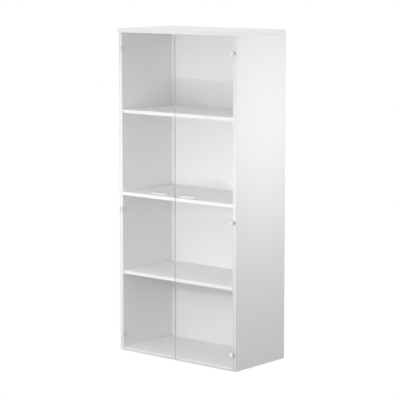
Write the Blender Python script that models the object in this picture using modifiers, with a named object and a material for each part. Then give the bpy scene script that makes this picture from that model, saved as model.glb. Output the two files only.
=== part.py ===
"""Tall four-tier bookcase with a pair of frameless glass doors.

The origin is on the floor at the centre of the carcass, +Z is up and the doors face -Y.
All sizes are in metres.
"""
import math

import bmesh
import bpy
from mathutils import Matrix, Vector

# Overall sizes
WIDTH = 0.800
DEPTH = 0.425
HEIGHT = 1.740

# Boards
TOP_THICKNESS = 0.022
SIDE_THICKNESS = 0.019
BOTTOM_THICKNESS = 0.016
SHELF_THICKNESS = 0.018
BACK_THICKNESS = 0.003
SHELF_SETBACK = 0.002
SHELF_HEIGHTS = {"shelf_lower": 0.440, "shelf_middle": 0.867, "shelf_upper": 1.309}
BACK_INSET = 0.006
GROOVE_DEPTH = 0.006
EDGE_ROUND = 0.0006

# Glass doors
GLASS_THICKNESS = 0.005
GLASS_STEP_BACK = 0.006
GLASS_TOP_GAP = 0.003
GLASS_FLOOR_GAP = 0.008
GLASS_SIDE_MARGIN = 0.0065
GLASS_CENTRE_GAP = 0.003
DOOR_GAP = 0.006
GLASS_ROUND = 0.0006

# Hinges
HINGE_HEIGHTS = {"lower": 0.090, "middle": 0.774, "upper": 1.632}
AXIS_INSET = 0.0032
KNUCKLE_LENGTH = 0.007
KNUCKLE_WALL = 0.0011
HINGE_PLATE = 0.0014
DOOR_LEAF_RADIUS = 0.010
BASE_LEAF_REACH = 0.034
PIN_HEAD_HEIGHT = 0.0015
PIN_HEAD_SHARE = 0.85
CAP_INSET = 0.0125
CAP_RADIUS = 0.0115
CAP_HEIGHT = 0.0050
CAP_RIM = 0.0018
STUD_RADIUS = 0.0030
CAP_STAND_OFF = 0.0008
CAP_DOME_STEPS = 5
HINGE_NUT_RADIUS = 0.0055
HINGE_NUT_HEIGHT = 0.0012
NUT_SIDES = 6
HINGE_SCREW_RADIUS = 0.0016
HINGE_SCREW_LENGTH = 0.012
HINGE_SCREW_SPACING = 0.012
HINGE_SCREW_SETBACK = 0.024
SCREW_HEAD_HEIGHT = 0.0018
SCREW_HEAD_RADIUS = 0.0036

# Handles
HANDLE_SPACING = 0.096
HANDLE_FROM_GAP = 0.0975
HANDLE_Z = 0.884
HANDLE_WIRE = 0.0045
HANDLE_STAND_OFF = 0.018
HANDLE_FOOT_RADIUS = 0.0055
HANDLE_FOOT_TIP = 0.0047
HANDLE_FOOT_LENGTH = 0.008
HANDLE_STEPS = 20
HANDLE_SQUARENESS = 0.6
HANDLE_SCREW_GRIP = 0.005
HANDLE_SCREW_RADIUS = 0.0020

# Shelf pins and door bumpers
SHELF_PIN_RADIUS = 0.0025
SHELF_PIN_REACH = 0.009
SHELF_PIN_DEPTH = 0.009
SHELF_PIN_INSET = 0.045
SHELF_END_GAP = 0.001
SHELF_BACK_GAP = 0.002
BUMPER_RADIUS = 0.0030
BUMPER_TIP_RADIUS = 0.0025
BUMPER_FROM_CENTRE = 0.030

# How finely round shapes are faceted
ROUND_SEGMENTS = 16
SMALL_SEGMENTS = 10
PIN_SEGMENTS = 12
KNUCKLE_SEGMENTS = 20
LEAF_SEGMENTS = 40
CAP_SEGMENTS = 24
ROD_RESOLUTION = 2
SMOOTH_ANGLE = 35

# Clearances
TOUCH = 0.0003
KNUCKLE_CLEARANCE = 0.0004
PIN_CLEARANCE = 0.0003
HOLE_CLEARANCE = 0.0005
CUT_THROUGH = 0.002

# Worked out from the sizes above
FRONT_Y = -DEPTH / 2
BACK_Y = DEPTH / 2
GLASS_FRONT_Y = FRONT_Y + GLASS_STEP_BACK
GLASS_BACK_Y = GLASS_FRONT_Y + GLASS_THICKNESS
SIDE_FRONT_Y = GLASS_BACK_Y + DOOR_GAP
INNER_X = WIDTH / 2 - SIDE_THICKNESS
UNDER_TOP = HEIGHT - TOP_THICKNESS
BACK_PANEL_FRONT_Y = BACK_Y - BACK_INSET - BACK_THICKNESS
DOOR_EDGE_X = WIDTH / 2 - GLASS_SIDE_MARGIN
AXIS_X = WIDTH / 2 - AXIS_INSET
AXIS_Y = (GLASS_BACK_Y + SIDE_FRONT_Y) / 2
KNUCKLE_RADIUS = DOOR_GAP / 2 - KNUCKLE_CLEARANCE
PIN_HOLE_RADIUS = KNUCKLE_RADIUS - KNUCKLE_WALL
PIN_RADIUS = PIN_HOLE_RADIUS - PIN_CLEARANCE
HINGE_HEIGHT = 3 * KNUCKLE_LENGTH + 2 * TOUCH
CAP_X = DOOR_EDGE_X - CAP_INSET

WHITE_BOARD = ((0.86, 0.86, 0.86), 0.45, 0.0)
BACK_BOARD = ((0.84, 0.84, 0.84), 0.55, 0.0)
CLEAR_GLASS = ((0.80, 0.86, 0.84), 0.03, 0.0)
BRIGHT_METAL = ((0.85, 0.85, 0.86), 0.12, 1.0)
SATIN_METAL = ((0.62, 0.62, 0.63), 0.30, 1.0)
ZINC = ((0.55, 0.56, 0.57), 0.40, 1.0)
CLEAR_PLASTIC = ((0.80, 0.82, 0.82), 0.30, 0.0)

SIDES = {"left": -1.0, "right": 1.0}


def clear_scene():
    """Remove every object from the open file."""
    for item in list(bpy.data.objects):
        bpy.data.objects.remove(item, do_unlink=True)


def new_collection(name):
    """Make a collection in the scene."""
    collection = bpy.data.collections.new(name)
    bpy.context.scene.collection.children.link(collection)
    return collection


def make_material(name, finish):
    """Make a Principled material from a colour, roughness and metallic value."""
    colour, roughness, metallic = finish
    material = bpy.data.materials.new(name)
    material.use_nodes = True
    shader = material.node_tree.nodes["Principled BSDF"]
    shader.inputs["Base Color"].default_value = (*colour, 1.0)
    shader.inputs["Roughness"].default_value = roughness
    shader.inputs["Metallic"].default_value = metallic
    return material


def add_object(name, form, collection):
    """Turn a bmesh into a named object and free the bmesh."""
    bmesh.ops.recalc_face_normals(form, faces=form.faces)
    mesh = bpy.data.meshes.new(name)
    form.to_mesh(mesh)
    form.free()
    item = bpy.data.objects.new(name, mesh)
    collection.objects.link(item)
    return item


def add_box(form, low, high):
    """Add a box between two corners to a bmesh."""
    size = [b - a for a, b in zip(low, high)]
    centre = [(a + b) / 2 for a, b in zip(low, high)]
    place = Matrix.Translation(centre) @ Matrix.Diagonal((*size, 1.0))
    bmesh.ops.create_cube(form, size=1.0, matrix=place)


def add_cylinder(form, start, end, radius, segments=ROUND_SEGMENTS, end_radius=None):
    """Add a capped cylinder or cone between two points to a bmesh."""
    start, end = Vector(start), Vector(end)
    along = end - start
    place = Matrix.Translation((start + end) / 2) @ along.to_track_quat("Z", "Y").to_matrix().to_4x4()
    bmesh.ops.create_cone(
        form,
        cap_ends=True,
        segments=segments,
        radius1=radius,
        radius2=radius if end_radius is None else end_radius,
        depth=along.length,
        matrix=place,
    )


class Maker:
    """Collects the finished parts, their cutters and their materials."""

    def __init__(self):
        self.parts = new_collection("glass_door_bookcase")
        self.cutters = new_collection("cutters")
        self.materials = {}

    def finish(self, item, label, finish, bevel=0.0, smooth=False):
        """Give a part its material, edge rounding and shading."""
        if label not in self.materials:
            self.materials[label] = make_material(label, finish)
        item.data.materials.append(self.materials[label])
        if bevel:
            rounding = item.modifiers.new("edge_rounding", "BEVEL")
            rounding.width = bevel
            rounding.segments = 1
            rounding.limit_method = "ANGLE"
        if smooth:
            item.data.shade_smooth()
            item.data.set_sharp_from_angle(angle=math.radians(SMOOTH_ANGLE))
        return item

    def part(self, name, form):
        """Add a part's object from a bmesh."""
        return add_object(name, form, self.parts)

    def cut(self, item, form, operation="DIFFERENCE", label="holes"):
        """Cut a part, or join to it, with a bmesh shape that stays as a hidden cutter."""
        cutter = add_object(f"{item.name}_{label}_{operation.lower()}", form, self.cutters)
        cutter.hide_render = True
        cutter.display_type = "WIRE"
        boolean = item.modifiers.new(label, "BOOLEAN")
        boolean.operation = operation
        boolean.solver = "EXACT"
        boolean.object = cutter


def shelf_pin_places(height):
    """Return the (y, z) of the front and rear pins under a shelf of the given height."""
    front = SIDE_FRONT_Y + SHELF_SETBACK + SHELF_PIN_INSET
    rear = BACK_PANEL_FRONT_Y - SHELF_BACK_GAP - SHELF_PIN_INSET
    z = height - SHELF_THICKNESS - SHELF_PIN_RADIUS - TOUCH
    return {"front": (front, z), "rear": (rear, z)}


def hinge_screw_places(z):
    """Return the (y, z) of the two screws that hold a hinge's base leaf."""
    y = SIDE_FRONT_Y + HINGE_SCREW_SETBACK
    return [(y, z - HINGE_SCREW_SPACING / 2), (y, z + HINGE_SCREW_SPACING / 2)]


def handle_screw_xs(sign):
    """Return the x places of the two screws of one handle, the hinge side's first."""
    centre = sign * (GLASS_CENTRE_GAP / 2 + HANDLE_FROM_GAP)
    return (centre + sign * HANDLE_SPACING / 2, centre - sign * HANDLE_SPACING / 2)


def build_side_panel(maker, label, sign):
    """Model one side board with its back groove and its blind holes."""
    form = bmesh.new()
    outer, inner = sign * WIDTH / 2, sign * INNER_X
    add_box(form, (min(outer, inner), SIDE_FRONT_Y, 0.0), (max(outer, inner), BACK_Y, UNDER_TOP - TOUCH))
    panel = maker.part(f"side_panel_{label}", form)
    maker.finish(panel, "white_board", WHITE_BOARD, bevel=EDGE_ROUND)

    cuts = bmesh.new()
    mouth = inner - sign * CUT_THROUGH
    groove_xs = sorted((mouth, inner + sign * GROOVE_DEPTH))
    add_box(
        cuts,
        (groove_xs[0], BACK_PANEL_FRONT_Y - TOUCH, -CUT_THROUGH),
        (groove_xs[1], BACK_PANEL_FRONT_Y + BACK_THICKNESS + TOUCH, UNDER_TOP + CUT_THROUGH),
    )
    for height in SHELF_HEIGHTS.values():
        for y, z in shelf_pin_places(height).values():
            end = inner + sign * (SHELF_PIN_DEPTH + TOUCH)
            add_cylinder(cuts, (mouth, y, z), (end, y, z), SHELF_PIN_RADIUS + TOUCH, PIN_SEGMENTS)
    for hinge_z in HINGE_HEIGHTS.values():
        for y, z in hinge_screw_places(hinge_z):
            end = inner + sign * HINGE_SCREW_LENGTH
            add_cylinder(cuts, (mouth, y, z), (end, y, z), HINGE_SCREW_RADIUS, SMALL_SEGMENTS)
    maker.cut(panel, cuts)


def build_top_panel(maker):
    """Model the top board, which stands proud of the sides at the front."""
    form = bmesh.new()
    add_box(form, (-WIDTH / 2, FRONT_Y, UNDER_TOP), (WIDTH / 2, BACK_Y, HEIGHT))
    maker.finish(maker.part("top_panel", form), "white_board", WHITE_BOARD, bevel=EDGE_ROUND)


def build_bottom_panel(maker):
    """Model the bottom board between the sides, flush with their front edges."""
    form = bmesh.new()
    half = INNER_X - TOUCH
    add_box(form, (-half, SIDE_FRONT_Y, 0.0), (half, BACK_PANEL_FRONT_Y - TOUCH, BOTTOM_THICKNESS))
    maker.finish(maker.part("bottom_panel", form), "white_board", WHITE_BOARD, bevel=EDGE_ROUND)


def build_back_panel(maker):
    """Model the thin back board that slides in the side grooves."""
    form = bmesh.new()
    half = INNER_X + GROOVE_DEPTH - TOUCH
    back = BACK_PANEL_FRONT_Y + BACK_THICKNESS
    add_box(form, (-half, BACK_PANEL_FRONT_Y, 0.0), (half, back, UNDER_TOP - TOUCH))
    maker.finish(maker.part("back_panel", form), "back_board", BACK_BOARD)


def build_shelf(maker, name, height):
    """Model one shelf board and the four pins that it lies on."""
    half = INNER_X - SHELF_END_GAP
    form = bmesh.new()
    add_box(
        form,
        (-half, SIDE_FRONT_Y + SHELF_SETBACK, height - SHELF_THICKNESS),
        (half, BACK_PANEL_FRONT_Y - SHELF_BACK_GAP, height),
    )
    maker.finish(maker.part(name, form), "white_board", WHITE_BOARD, bevel=EDGE_ROUND)
    for label, sign in SIDES.items():
        for place, (y, z) in shelf_pin_places(height).items():
            pin = bmesh.new()
            start, end = sign * (INNER_X + SHELF_PIN_DEPTH), sign * (INNER_X - SHELF_PIN_REACH)
            add_cylinder(pin, (start, y, z), (end, y, z), SHELF_PIN_RADIUS, PIN_SEGMENTS)
            item = maker.part(f"{name}_pin_{label}_{place}", pin)
            maker.finish(item, "zinc", ZINC, smooth=True)


def add_door_axis(maker, label, sign):
    """Add the empty on one door's hinge axis, which carries all that swings."""
    axis = bpy.data.objects.new(f"{label}_door_axis", None)
    axis.location = (sign * AXIS_X, AXIS_Y, 0.0)
    maker.cutters.objects.link(axis)
    bpy.context.view_layer.update()
    return axis


def place_under(item, parent):
    """Parent a part to its joint's empty and keep it where it is."""
    item.parent = parent
    item.matrix_parent_inverse = parent.matrix_world.inverted()


def build_glass_door(maker, label, sign):
    """Model one sheet of glass with its hinge and handle holes."""
    edges = sorted((sign * GLASS_CENTRE_GAP / 2, sign * DOOR_EDGE_X))
    form = bmesh.new()
    add_box(
        form,
        (edges[0], GLASS_FRONT_Y, GLASS_FLOOR_GAP),
        (edges[1], GLASS_BACK_Y, UNDER_TOP - GLASS_TOP_GAP),
    )
    glass = maker.part(f"glass_door_{label}", form)
    maker.finish(glass, "clear_glass", CLEAR_GLASS, bevel=GLASS_ROUND)

    cuts = bmesh.new()
    front, back = GLASS_FRONT_Y - CUT_THROUGH, GLASS_BACK_Y + CUT_THROUGH
    for z in HINGE_HEIGHTS.values():
        x = sign * CAP_X
        add_cylinder(cuts, (x, front, z), (x, back, z), STUD_RADIUS + HOLE_CLEARANCE)
    for x in handle_screw_xs(sign):
        radius = HANDLE_SCREW_RADIUS + HOLE_CLEARANCE
        add_cylinder(cuts, (x, front, HANDLE_Z), (x, back, HANDLE_Z), radius)
    maker.cut(glass, cuts)
    return glass


def build_base_leaf(maker, name, sign, z):
    """Model the leaf on the side board: two end knuckles, a front flange and a side flange."""
    axis_x = sign * AXIS_X
    tall = HINGE_HEIGHT / 2
    gap = KNUCKLE_LENGTH / 2 + TOUCH
    back = AXIS_Y + KNUCKLE_RADIUS
    face_x = INNER_X - TOUCH
    inside_x = face_x - HINGE_PLATE
    deep = SIDE_FRONT_Y + BASE_LEAF_REACH
    form = bmesh.new()
    xs = sorted((sign * AXIS_X, sign * inside_x))
    add_box(form, (xs[0], back - HINGE_PLATE, z - tall), (xs[1], deep, z + tall))
    leaf = maker.part(name, form)
    maker.finish(leaf, "satin_metal", SATIN_METAL, smooth=True)

    corner = bmesh.new()
    xs = sorted((sign * face_x, sign * (AXIS_X + CUT_THROUGH)))
    low, high = z - tall - CUT_THROUGH, z + tall + CUT_THROUGH
    add_box(corner, (xs[0], back, low), (xs[1], deep + CUT_THROUGH, high))
    maker.cut(leaf, corner, "DIFFERENCE", "corner")
    for side, foot, head in (("under", -tall, -gap), ("over", gap, tall)):
        knuckle = bmesh.new()
        start, end = (axis_x, AXIS_Y, z + foot), (axis_x, AXIS_Y, z + head)
        add_cylinder(knuckle, start, end, KNUCKLE_RADIUS, KNUCKLE_SEGMENTS)
        maker.cut(leaf, knuckle, "UNION", side)

    notch = KNUCKLE_RADIUS + KNUCKLE_CLEARANCE
    window = bmesh.new()
    add_box(window, (axis_x - notch, AXIS_Y - notch, z - gap), (axis_x + notch, SIDE_FRONT_Y, z + gap))
    maker.cut(leaf, window, "DIFFERENCE", "window")

    holes = bmesh.new()
    add_cylinder(holes, (axis_x, AXIS_Y, low), (axis_x, AXIS_Y, high), PIN_HOLE_RADIUS)
    for y, screw_z in hinge_screw_places(z):
        start = (sign * (face_x + CUT_THROUGH), y, screw_z)
        end = (sign * (face_x - HINGE_PLATE - CUT_THROUGH), y, screw_z)
        add_cylinder(holes, start, end, HINGE_SCREW_RADIUS, SMALL_SEGMENTS)
    maker.cut(leaf, holes)


def build_door_leaf(maker, name, sign, z):
    """Model the leaf behind the glass: a round plate drilled for the stud, and a centre knuckle."""
    axis_x, stud_x = sign * AXIS_X, sign * CAP_X
    front = GLASS_BACK_Y + TOUCH
    back = front + HINGE_PLATE
    half = KNUCKLE_LENGTH / 2
    form = bmesh.new()
    xs = sorted((axis_x, stud_x))
    add_box(form, (xs[0], front, z - half), (xs[1], back, z + half))
    leaf = maker.part(name, form)
    maker.finish(leaf, "satin_metal", SATIN_METAL, smooth=True)

    plate = bmesh.new()
    add_cylinder(plate, (stud_x, front, z), (stud_x, back, z), DOOR_LEAF_RADIUS, LEAF_SEGMENTS)
    maker.cut(leaf, plate, "UNION", "plate")
    knuckle = bmesh.new()
    start, end = (axis_x, AXIS_Y, z - half), (axis_x, AXIS_Y, z + half)
    add_cylinder(knuckle, start, end, KNUCKLE_RADIUS, KNUCKLE_SEGMENTS)
    maker.cut(leaf, knuckle, "UNION", "knuckle")

    holes = bmesh.new()
    low, high = z - half - CUT_THROUGH, z + half + CUT_THROUGH
    add_cylinder(holes, (axis_x, AXIS_Y, low), (axis_x, AXIS_Y, high), PIN_HOLE_RADIUS)
    start, end = (stud_x, front - CUT_THROUGH, z), (stud_x, SIDE_FRONT_Y, z)
    add_cylinder(holes, start, end, STUD_RADIUS + TOUCH)
    maker.cut(leaf, holes)
    return leaf


def turned(maker, name, profile, steps):
    """Turn a profile of (radius, height) points, listed top to bottom, about the Z axis."""
    mesh = bpy.data.meshes.new(name)
    points = [(radius, 0.0, height) for radius, height in profile]
    mesh.from_pydata(points, [(i, i + 1) for i in range(len(points) - 1)], [])
    item = bpy.data.objects.new(name, mesh)
    maker.parts.objects.link(item)
    screw = item.modifiers.new("turning", "SCREW")
    screw.steps = steps
    screw.render_steps = steps
    screw.use_merge_vertices = True
    screw.merge_threshold = 0.00001
    screw.use_smooth_shade = True
    return item


def build_hinge_pin(maker, name, sign, z):
    """Model the pin with a rounded head at each end."""
    tall = HINGE_HEIGHT / 2 + TOUCH
    waist = KNUCKLE_RADIUS * PIN_HEAD_SHARE
    half = [
        (0.0, tall + PIN_HEAD_HEIGHT),
        (PIN_RADIUS, tall + PIN_HEAD_HEIGHT),
        (waist, tall + PIN_HEAD_HEIGHT / 2),
        (waist, tall),
        (PIN_RADIUS, tall),
    ]
    profile = half + [(radius, -height) for radius, height in reversed(half)]
    pin = turned(maker, name, profile, ROUND_SEGMENTS)
    pin.location = (sign * AXIS_X, AXIS_Y, z)
    maker.finish(pin, "satin_metal", SATIN_METAL)


def nut_back_y():
    """Return the y of the rear face of the hinge nuts."""
    return GLASS_BACK_Y + TOUCH + HINGE_PLATE + TOUCH + HINGE_NUT_HEIGHT


def build_hinge_cap(maker, name, sign, z):
    """Model the domed cap in front of the glass, with its stud through glass and leaf."""
    front = GLASS_FRONT_Y - CAP_STAND_OFF
    stud = nut_back_y() - front
    profile = [(0.0, CAP_HEIGHT)]
    for step in range(1, CAP_DOME_STEPS + 1):
        angle = math.pi / 2 * step / CAP_DOME_STEPS
        profile.append((CAP_RADIUS * math.sin(angle), CAP_RIM + (CAP_HEIGHT - CAP_RIM) * math.cos(angle)))
    profile += [(CAP_RADIUS, 0.0), (STUD_RADIUS, 0.0), (STUD_RADIUS, -stud), (0.0, -stud)]
    cap = turned(maker, name, profile, CAP_SEGMENTS)
    cap.location = (sign * CAP_X, front, z)
    cap.rotation_euler = (math.pi / 2, 0.0, 0.0)
    maker.finish(cap, "bright_metal", BRIGHT_METAL)
    bpy.context.view_layer.update()
    return cap


def build_hinge_nut(maker, name, sign, z):
    """Model the thin six-sided nut that holds the door leaf on the cap's stud."""
    x = sign * CAP_X
    form = bmesh.new()
    back = nut_back_y()
    add_cylinder(form, (x, back - HINGE_NUT_HEIGHT, z), (x, back, z), HINGE_NUT_RADIUS, NUT_SIDES)
    nut = maker.part(name, form)
    maker.finish(nut, "zinc", ZINC)
    hole = bmesh.new()
    start, end = (x, GLASS_BACK_Y, z), (x, back + CUT_THROUGH, z)
    add_cylinder(hole, start, end, STUD_RADIUS + TOUCH)
    maker.cut(nut, hole)
    return nut


def bow_path(centre, seat):
    """Return a bow handle's centre line: a half ellipse squared towards its two feet."""
    path = []
    for step in range(HANDLE_STEPS + 1):
        angle = math.pi * step / HANDLE_STEPS
        across = math.copysign(abs(math.cos(angle)) ** HANDLE_SQUARENESS, math.cos(angle))
        out = HANDLE_FOOT_LENGTH / 2 + HANDLE_STAND_OFF * math.sin(angle) ** HANDLE_SQUARENESS
        path.append(Vector((centre + HANDLE_SPACING / 2 * across, seat - out, HANDLE_Z)))
    return path


def swept_rod(maker, name, path, radius):
    """Carry a round section along a path and return it as a bmesh."""
    curve = bpy.data.curves.new(name, "CURVE")
    curve.dimensions = "3D"
    curve.bevel_depth = radius
    curve.bevel_resolution = ROD_RESOLUTION
    curve.use_fill_caps = True
    spline = curve.splines.new("POLY")
    spline.points.add(len(path) - 1)
    for point, place in zip(spline.points, path):
        point.co = (*place, 1.0)
    guide = bpy.data.objects.new(name, curve)
    maker.cutters.objects.link(guide)
    bpy.context.view_layer.update()
    evaluated = guide.evaluated_get(bpy.context.evaluated_depsgraph_get())
    mesh = bpy.data.meshes.new_from_object(evaluated)
    form = bmesh.new()
    form.from_mesh(mesh)
    bmesh.ops.remove_doubles(form, verts=form.verts, dist=0.00001)
    bpy.data.objects.remove(guide, do_unlink=True)
    bpy.data.meshes.remove(mesh)
    return form


def build_handle(maker, label, sign):
    """Model a bow handle as one bent rod with a round foot at each screw."""
    xs = handle_screw_xs(sign)
    seat = GLASS_FRONT_Y - TOUCH
    rod = swept_rod(maker, "handle_guide", bow_path(sum(xs) / 2, seat), HANDLE_WIRE)
    handle = maker.part(f"handle_{label}", rod)
    maker.finish(handle, "bright_metal", BRIGHT_METAL, smooth=True)
    for place, x in zip(("outer", "inner"), xs):
        foot = bmesh.new()
        start, end = (x, seat, HANDLE_Z), (x, seat - HANDLE_FOOT_LENGTH, HANDLE_Z)
        add_cylinder(foot, start, end, HANDLE_FOOT_RADIUS, KNUCKLE_SEGMENTS, HANDLE_FOOT_TIP)
        maker.cut(handle, foot, "UNION", place)
    holes = bmesh.new()
    for x in xs:
        start = (x, seat + CUT_THROUGH, HANDLE_Z)
        end = (x, seat - HANDLE_SCREW_GRIP - TOUCH, HANDLE_Z)
        add_cylinder(holes, start, end, HANDLE_SCREW_RADIUS + TOUCH, PIN_SEGMENTS)
    maker.cut(handle, holes)
    return handle


def build_handle_screw(maker, name, x):
    """Model a pan-head screw from behind the glass into a handle's foot."""
    seat = GLASS_BACK_Y + TOUCH
    length = GLASS_THICKNESS + TOUCH + TOUCH + HANDLE_SCREW_GRIP
    profile = [
        (0.0, SCREW_HEAD_HEIGHT),
        (SCREW_HEAD_RADIUS - SCREW_HEAD_HEIGHT / 2, SCREW_HEAD_HEIGHT),
        (SCREW_HEAD_RADIUS, SCREW_HEAD_HEIGHT / 2),
        (SCREW_HEAD_RADIUS, 0.0),
        (HANDLE_SCREW_RADIUS, 0.0),
        (HANDLE_SCREW_RADIUS, -length),
        (0.0, -length),
    ]
    screw = turned(maker, name, profile, ROUND_SEGMENTS)
    screw.location = (x, seat, HANDLE_Z)
    screw.rotation_euler = (-math.pi / 2, 0.0, 0.0)
    maker.finish(screw, "zinc", ZINC)
    bpy.context.view_layer.update()
    return screw


def build_bumper(maker, label, sign):
    """Model the clear bumper on the bottom board that one closed door comes to rest by."""
    x = sign * BUMPER_FROM_CENTRE
    z = (GLASS_FLOOR_GAP + BOTTOM_THICKNESS) / 2
    form = bmesh.new()
    start, end = (x, SIDE_FRONT_Y - TOUCH, z), (x, GLASS_BACK_Y + TOUCH, z)
    add_cylinder(form, start, end, BUMPER_RADIUS, ROUND_SEGMENTS, BUMPER_TIP_RADIUS)
    maker.finish(maker.part(f"door_bumper_{label}", form), "clear_plastic", CLEAR_PLASTIC, smooth=True)


def build_door(maker, label, sign):
    """Model one door with its hinges and handle; all that swings hangs on its axis."""
    axis = add_door_axis(maker, label, sign)
    swinging = [build_glass_door(maker, label, sign), build_handle(maker, label, sign)]
    for place, x in zip(("outer", "inner"), handle_screw_xs(sign)):
        swinging.append(build_handle_screw(maker, f"handle_screw_{label}_{place}", x))
    for level, z in HINGE_HEIGHTS.items():
        build_base_leaf(maker, f"hinge_base_{label}_{level}", sign, z)
        build_hinge_pin(maker, f"hinge_pin_{label}_{level}", sign, z)
        swinging.append(build_door_leaf(maker, f"hinge_leaf_{label}_{level}", sign, z))
        swinging.append(build_hinge_cap(maker, f"hinge_cap_{label}_{level}", sign, z))
        swinging.append(build_hinge_nut(maker, f"hinge_nut_{label}_{level}", sign, z))
    for item in swinging:
        place_under(item, axis)


def main():
    """Build the whole bookcase."""
    clear_scene()
    maker = Maker()
    build_top_panel(maker)
    build_bottom_panel(maker)
    build_back_panel(maker)
    for name, height in SHELF_HEIGHTS.items():
        build_shelf(maker, name, height)
    for label, sign in SIDES.items():
        build_side_panel(maker, label, sign)
        build_bumper(maker, label, sign)
        build_door(maker, label, sign)


main()
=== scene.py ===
"""Looks of a tall bookcase with a pair of frameless glass doors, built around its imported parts.

The boards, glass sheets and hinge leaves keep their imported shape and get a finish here. Everything
turned, bent or threaded is made again as a fine surface: caps, nuts, pins, screws, handles, gaskets.
"""
import sys

import logging
import math
from collections.abc import Iterator
from dataclasses import dataclass, field
from enum import Enum

import bpy
import numpy as np
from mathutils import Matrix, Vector


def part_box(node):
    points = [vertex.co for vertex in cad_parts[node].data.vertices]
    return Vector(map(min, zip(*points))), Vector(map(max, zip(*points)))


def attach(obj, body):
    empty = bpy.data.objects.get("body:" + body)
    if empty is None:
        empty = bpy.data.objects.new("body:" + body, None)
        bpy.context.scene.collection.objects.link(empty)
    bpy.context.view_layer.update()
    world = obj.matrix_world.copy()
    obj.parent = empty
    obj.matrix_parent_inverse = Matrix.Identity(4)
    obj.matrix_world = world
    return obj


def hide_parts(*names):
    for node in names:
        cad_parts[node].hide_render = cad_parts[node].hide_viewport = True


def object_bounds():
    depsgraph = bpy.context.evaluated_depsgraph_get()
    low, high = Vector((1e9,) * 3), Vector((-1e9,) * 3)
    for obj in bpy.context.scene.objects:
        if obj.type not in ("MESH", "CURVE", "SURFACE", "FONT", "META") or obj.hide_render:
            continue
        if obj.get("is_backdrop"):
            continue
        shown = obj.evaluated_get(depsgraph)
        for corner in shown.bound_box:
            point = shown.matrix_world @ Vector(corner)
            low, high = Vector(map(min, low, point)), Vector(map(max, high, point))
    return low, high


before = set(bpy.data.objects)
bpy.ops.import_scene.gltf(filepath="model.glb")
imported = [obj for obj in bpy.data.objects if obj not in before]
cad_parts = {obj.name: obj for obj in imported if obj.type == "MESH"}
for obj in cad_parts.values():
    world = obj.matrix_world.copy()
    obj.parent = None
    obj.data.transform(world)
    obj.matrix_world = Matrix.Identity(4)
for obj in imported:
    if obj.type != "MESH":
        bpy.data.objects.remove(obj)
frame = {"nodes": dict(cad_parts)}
CAD_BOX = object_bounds()

log = logging.getLogger("bookcase")

ROUND_STEPS = 64
CLEARANCE = 0.0001


class Side(Enum):
    """The two doors, each with the direction of x that points to its hinges."""

    LEFT = ("left", -1.0)
    RIGHT = ("right", 1.0)

    @property
    def label(self) -> str:
        """Return the word used in node names."""
        return self.value[0]

    @property
    def sign(self) -> float:
        """Return -1 on the left and +1 on the right."""
        return self.value[1]

    @property
    def body(self) -> str:
        """Return the name of the swinging body."""
        return f"{self.label}_door"


class Level(Enum):
    """The three heights at which each door is hinged."""

    LOWER = "lower"
    MIDDLE = "middle"
    UPPER = "upper"


class Recess(Enum):
    """What a screw's head is cut with."""

    NONE = "none"
    CROSS = "cross"


# ---------------------------------------------------------------- geometry


@dataclass(frozen=True)
class NodeBox:
    """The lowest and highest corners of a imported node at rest."""

    low: np.ndarray
    high: np.ndarray

    @classmethod
    def of(cls, node: str) -> "NodeBox":
        """Return the box of one node, by name."""
        low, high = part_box(node)
        return cls(np.array(low, dtype=float), np.array(high, dtype=float))

    @property
    def centre(self) -> np.ndarray:
        """Return the middle of the box."""
        return (self.low + self.high) / 2

    @property
    def size(self) -> np.ndarray:
        """Return the three sides of the box."""
        return self.high - self.low


@dataclass(frozen=True)
class Axis:
    """A point and three perpendicular directions: along the axis, and two across it."""

    origin: np.ndarray
    along: np.ndarray
    across: np.ndarray
    up: np.ndarray

    @classmethod
    def facing(cls, origin: np.ndarray, along: tuple[float, float, float]) -> "Axis":
        """Return the axis through a point in a direction.

        Args:
            origin: the point that height zero stands for.
            along: the direction in which heights grow.

        Returns:
            The axis, with two directions across it that complete a right-handed set.
        """
        a = np.array(along, dtype=float)
        helper = np.array((0.0, 0.0, 1.0)) if abs(a[2]) < 0.9 else np.array((1.0, 0.0, 0.0))
        across = np.cross(helper, a)
        across /= np.linalg.norm(across)
        return cls(np.asarray(origin, dtype=float), a, across, np.cross(a, across))


def turn_angles(steps: int = ROUND_STEPS) -> np.ndarray:
    """Return evenly spaced angles for one full turn, without the last that repeats the first."""
    return np.arange(steps) * (2 * math.pi / steps)


def rings_about(axis: Axis, radius: np.ndarray, height: np.ndarray, angles: np.ndarray) -> np.ndarray:
    """Place points around an axis.

    Each point is origin + along * height + radius * (across * cos a + up * sin a).

    Args:
        axis: the axis of the turned shape.
        radius: radii, one for each ring or one for each ring and angle.
        height: heights, shaped like the radii.
        angles: the angles of one ring.

    Returns:
        An array of rings by angles by three coordinates.
    """
    radius = np.broadcast_to(np.atleast_2d(radius.T).T, (radius.shape[0], angles.size))
    height = np.broadcast_to(np.atleast_2d(height.T).T, (height.shape[0], angles.size))
    sideways = np.cos(angles)[None, :, None] * axis.across + np.sin(angles)[None, :, None] * axis.up
    return axis.origin + height[..., None] * axis.along + radius[..., None] * sideways


def signed_volume(points: np.ndarray, triangles: np.ndarray) -> float:
    """Return the volume that triangles enclose: a sixth of the sum of their corner determinants."""
    a, b, c = (points[triangles[:, i]] for i in range(3))
    return float(np.einsum("ij,ij->i", a, np.cross(b, c)).sum() / 6)


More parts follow.
